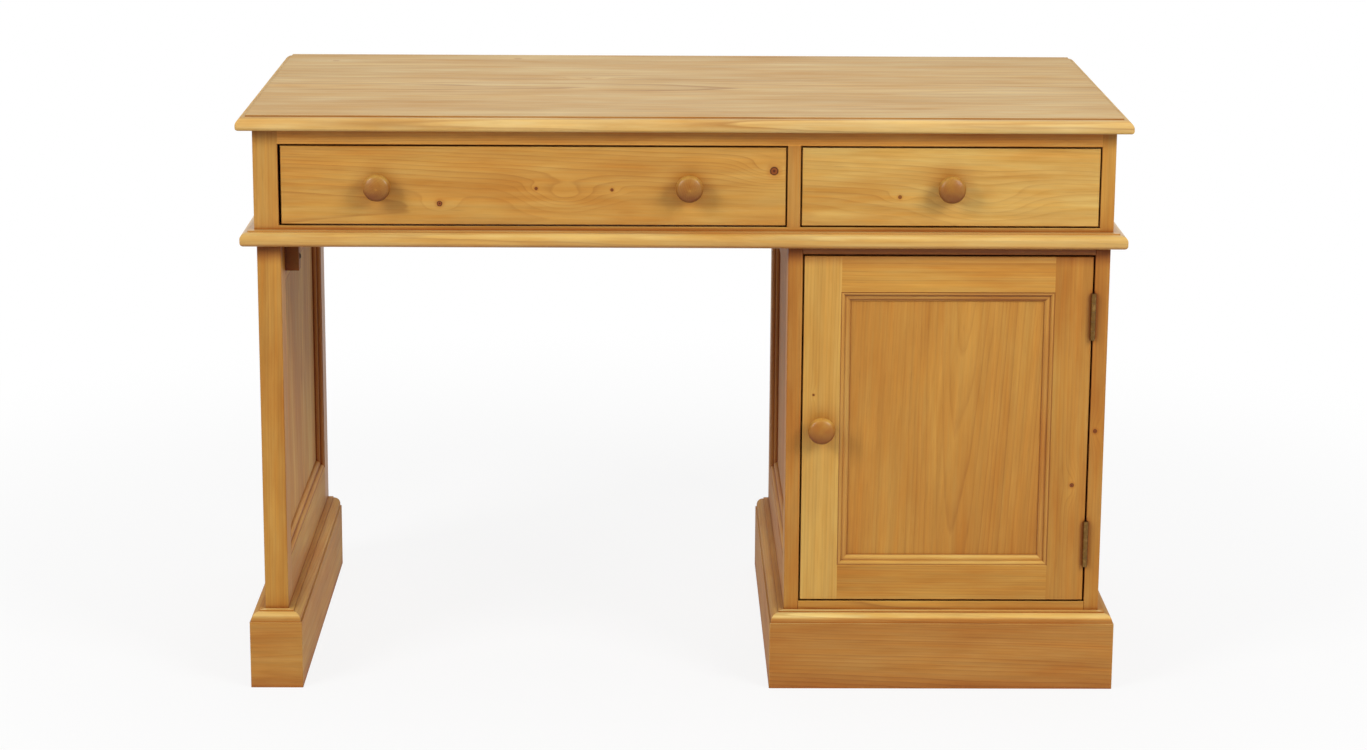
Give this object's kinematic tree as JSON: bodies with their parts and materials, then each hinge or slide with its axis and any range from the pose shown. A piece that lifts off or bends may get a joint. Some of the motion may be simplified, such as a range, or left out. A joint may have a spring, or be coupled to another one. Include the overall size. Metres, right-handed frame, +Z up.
{
  "type": "kneehole desk",
  "caption": "Pine kneehole desk: moulded top over a case with two drawers and turned knobs, on a panelled end leg and a cupboard pedestal with a hinged panelled door.",
  "frame": {"origin": "on the floor, under the middle of the desk top's outline", "axes": "+X to the sitter's right as the front is looked at, along the length; +Y from the front to the back; +Z up"},
  "size_m": [1.2, 0.605, 0.8],
  "materials": {
    "pine_top": "honey-stained pine under satin lacquer, grain along the length",
    "pine": "honey-stained pine under satin lacquer",
    "pine_inside": "planed pine, thinly sealed",
    "plywood": "sealed plywood",
    "knob_beech": "turned, stained and satin lacquered",
    "antique_brass": "antiqued, worn brighter on the knuckles",
    "catch_plastic": "moulded brown",
    "strike_steel": "zinc plated"
  },
  "bodies": {
    "carcass": {"desk_top": "pine_top", "case_stile_left": "pine", "case_stile_middle": "pine", "case_stile_right": "pine", "case_rail_top": "pine", "case_rail_bottom": "pine", "case_side_left": "pine", "case_side_right": "pine", "case_back": "pine_inside", "case_rail_rear": "pine_inside", "case_divider": "pine_inside", "drawer_runners": "pine_inside", "drawer_kickers": "pine_inside", "waist_moulding_front": "pine", "waist_moulding_sides": "pine", "leg_stile_front": "pine", "leg_stile_back": "pine", "leg_rail_top": "pine", "leg_rail_bottom": "pine", "leg_panel": "pine", "leg_panel_beads": "pine", "leg_fixing_blocks": "pine_inside", "leg_plinth_front": "pine", "leg_plinth_sides": "pine", "pedestal_left_stiles": "pine", "pedestal_left_rails": "pine", "pedestal_left_panel": "pine", "pedestal_left_beads": "pine", "pedestal_right_stiles": "pine", "pedestal_right_rails": "pine", "pedestal_right_panel": "pine", "pedestal_right_beads": "pine", "pedestal_bottom": "pine", "pedestal_back": "pine_inside", "pedestal_top_rails": "pine", "pedestal_shelf": "pine_inside", "shelf_battens": "pine_inside", "pedestal_plinth_front": "pine", "pedestal_plinth_sides": "pine", "hinge_leaves_frame": "antique_brass", "hinge_pins": "antique_brass", "door_catch": "catch_plastic"},
    "left_drawer": {"left_drawer_front": "pine", "left_drawer_sides": "pine_inside", "left_drawer_back": "pine_inside", "left_drawer_bottom": "plywood", "left_drawer_knobs": "knob_beech"},
    "right_drawer": {"right_drawer_front": "pine", "right_drawer_sides": "pine_inside", "right_drawer_back": "pine_inside", "right_drawer_bottom": "plywood", "right_drawer_knob": "knob_beech"},
    "door": {"door_stile_left": "pine", "door_stile_right": "pine", "door_rails": "pine", "door_panel": "pine", "door_panel_beads": "pine", "door_knob": "knob_beech", "hinge_leaves_door": "antique_brass", "door_catch_strike": "strike_steel"}
  },
  "joints": [
    {"name": "left_drawer_slide", "type": "slide", "parent": "carcass", "child": "left_drawer", "axis": [0, -1, 0], "range_m": [0, 0.4]},
    {"name": "right_drawer_slide", "type": "slide", "parent": "carcass", "child": "right_drawer", "axis": [0, -1, 0], "range_m": [0, 0.4]},
    {"name": "door_hinge", "type": "hinge", "parent": "carcass", "child": "door", "pos_m": [0.5558, -0.2798, 0.366], "axis": [0, 0, 1], "range_deg": [0, 170]}
  ]
}
